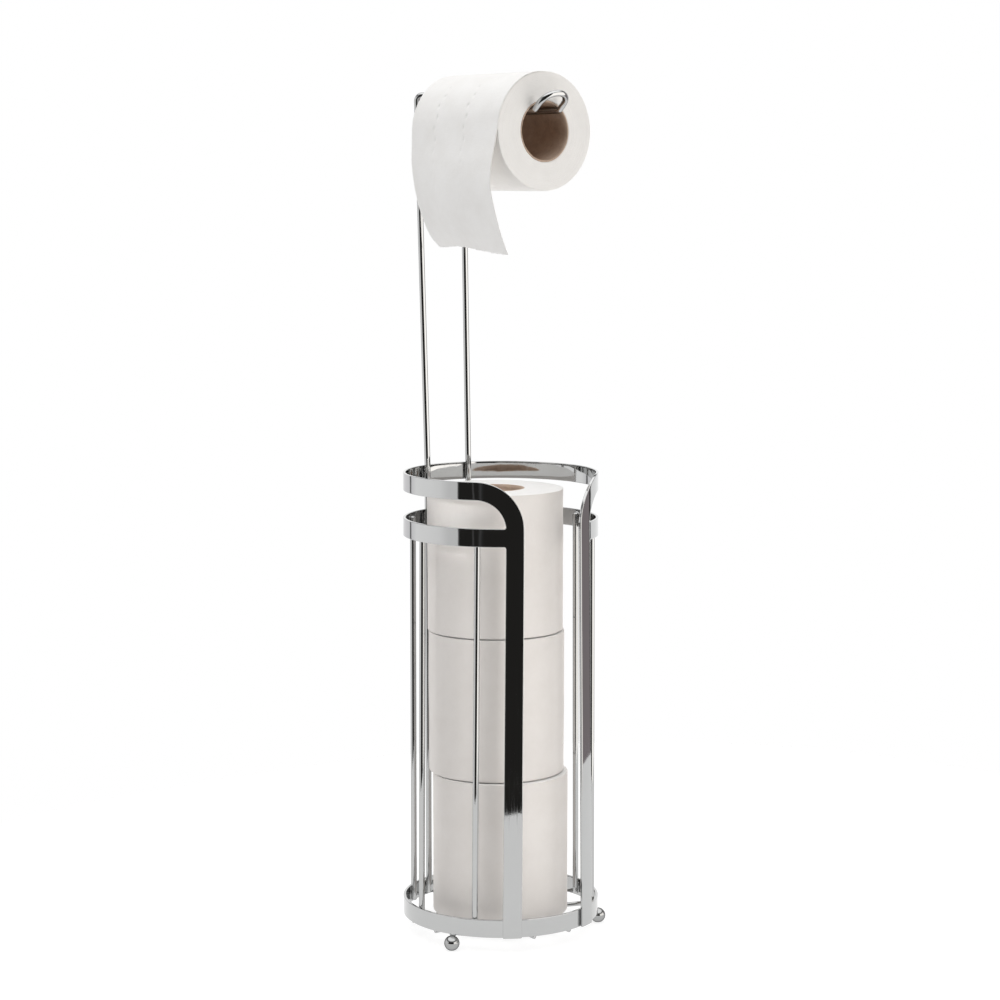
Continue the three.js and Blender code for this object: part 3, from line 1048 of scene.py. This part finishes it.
def soft_light(name, place, aim, size, power, spread=180):
    """A round light that neither the camera nor a mirror sees; spread is its cone, in degrees."""
    lamp = bpy.data.lights.new(name, "AREA")
    lamp.shape = "DISK"
    lamp.size = size * MM
    lamp.energy = power
    lamp.spread = math.radians(spread)
    made = placed(name, lamp)
    made.location = Vector(place) * MM
    made.rotation_euler = (Vector(aim) - Vector(place)).to_track_quat("-Z", "Y").to_euler()
    made.visible_camera = False
    made.visible_glossy = False


def studio_lights():
    soft_light("overhead", (-100, -100, 1500), (0, 0, 400), size=1100, power=1.0)
    soft_light("side_fill", (-450, -60, 700), SUPPLY_MIDDLE, size=260, power=0.42)
    soft_light("front_key", (-100, -640, 150), (0, 0, 200), size=200, power=0.118, spread=64)
    soft_light("cage_fill", (-483, -129, 215), (0, 0, 322), size=200, power=0.02, spread=44)
    soft_light("fill_between_hoops", (-396, -62, 412), (-48, -9, 306), size=30, power=0.0032, spread=14)


FLOOR_R = 517
FLOOR_REACH = 143                      # it reaches this much further on the right (+X)
FLOOR_FADE = 10                        # width of its soft rim
FLOOR_RINGS = 6
FLOOR_GREY = 0.3
FLOOR_GLOW = 0.77


def floor_edge(turn):
    """Radius of the floor in a direction, in degrees from the front towards +X."""
    return FLOOR_R + FLOOR_REACH * (smooth(-5, 80, turn) - smooth(110, 180, turn))


def floor_mesh(sides=144):
    """A round sheet in rings; the last ring carries no paint, so that the rim fades out."""
    verts, faces, paint = [Vector((0, AXIS_Y, 0)) * MM], [], [1.0]
    for row in range(1, FLOOR_RINGS + 1):
        for j in range(sides):
            turn = 360 * j / sides - 180
            reach = floor_edge(turn)
            inside = (reach - FLOOR_FADE) * row / (FLOOR_RINGS - 1)
            radius = reach if row == FLOOR_RINGS else inside
            side = math.radians(turn)
            verts.append(Vector((radius * math.sin(side), AXIS_Y - radius * math.cos(side), 0)) * MM)
            paint.append(float(row < FLOOR_RINGS))
    for j in range(sides):
        k = (j + 1) % sides
        faces.append((0, 1 + j, 1 + k))
        for low in range(1, 1 + (FLOOR_RINGS - 1) * sides, sides):
            high = low + sides
            faces.append((low + j, high + j, high + k, low + k))
    mesh = bpy.data.meshes.new("floor")
    mesh.from_pydata(verts, [], faces)
    mesh.attributes.new("paint", "FLOAT", "POINT").data.foreach_set("value", paint)
    return mesh


def studio_floor():
    """A pale sheet under the stand that glows a little, so that it hardly takes a shadow."""
    shader = Shader("pale_floor", Base_Color=(*grey(FLOOR_GREY), 1), Emission_Color=(1, 1, 1, 1),
                    Emission_Strength=FLOOR_GLOW)
    fade = shader.node("Attribute", attribute_name="paint").outputs["Fac"]
    speck = shader.noise(shader.place(), 0.2, 3.0)
    shader.finish(Alpha=fade, Roughness=shader.remap(speck, 0.3, 0.7, 0.85, 0.95))
    mesh = floor_mesh()
    mesh.materials.append(shader.material)
    placed("floor", mesh)


def main_camera():
    """Stands to the left of the front, a little lower than the top of the mast."""
    lens = bpy.data.cameras.new("camera")
    lens.lens = CAMERA_LENS
    lens.sensor_width = CAMERA_SENSOR
    lens.clip_end = 20
    camera = placed("camera", lens)
    turn, pitch = math.radians(CAMERA_TURN), math.radians(CAMERA_PITCH)
    camera.location = Vector((-CAMERA_DISTANCE * math.sin(turn),
                              AXIS_Y - CAMERA_DISTANCE * math.cos(turn), CAMERA_HEIGHT)) * MM
    turn += math.radians(CAMERA_SWING)
    look = Vector((math.sin(turn) * math.cos(pitch), math.cos(turn) * math.cos(pitch), -math.sin(pitch)))
    camera.rotation_euler = look.to_track_quat("-Z", "Y").to_euler()
    scene.camera = camera
    scene.view_settings.view_transform = "Standard"


main_camera()
studio_world()
studio_lights()
studio_floor()

strip_chrome = chrome_plate("chrome_strip", CHROME, 0.03)
wire_chrome = chrome_plate("chrome_wire", CHROME, 0.05, edge=0.5)
# edge=0.1 darkens the balls' rims: painted shade for the shadowed floor they reflect there.
ball_chrome_painted_shade = chrome_plate("chrome_ball", BALL_CHROME_PAINTED_SHADE, 0.12, wiped=WIPED_ALL_ROUND, edge=0.1)
hoop_and_posts(strip_chrome)
middle_hoop(strip_chrome)
base_hoop(strip_chrome)
cage_rods(wire_chrome)
floor_wires(wire_chrome)
ball_feet(ball_chrome_painted_shade)
mast_wire(wire_chrome)

cardboard = board("core_board")
# The spare rolls' tissue is darkened as painted shade.
spare_rolls(tissue("spare_tissue_painted_shade", UPRIGHT_CREPE, SPARE_PAINTED_SHADE), cardboard)
supply_tissue = tissue("supply_tissue", LYING_CREPE)
supply_roll(supply_tissue, cardboard)
loose_sheet(supply_tissue)
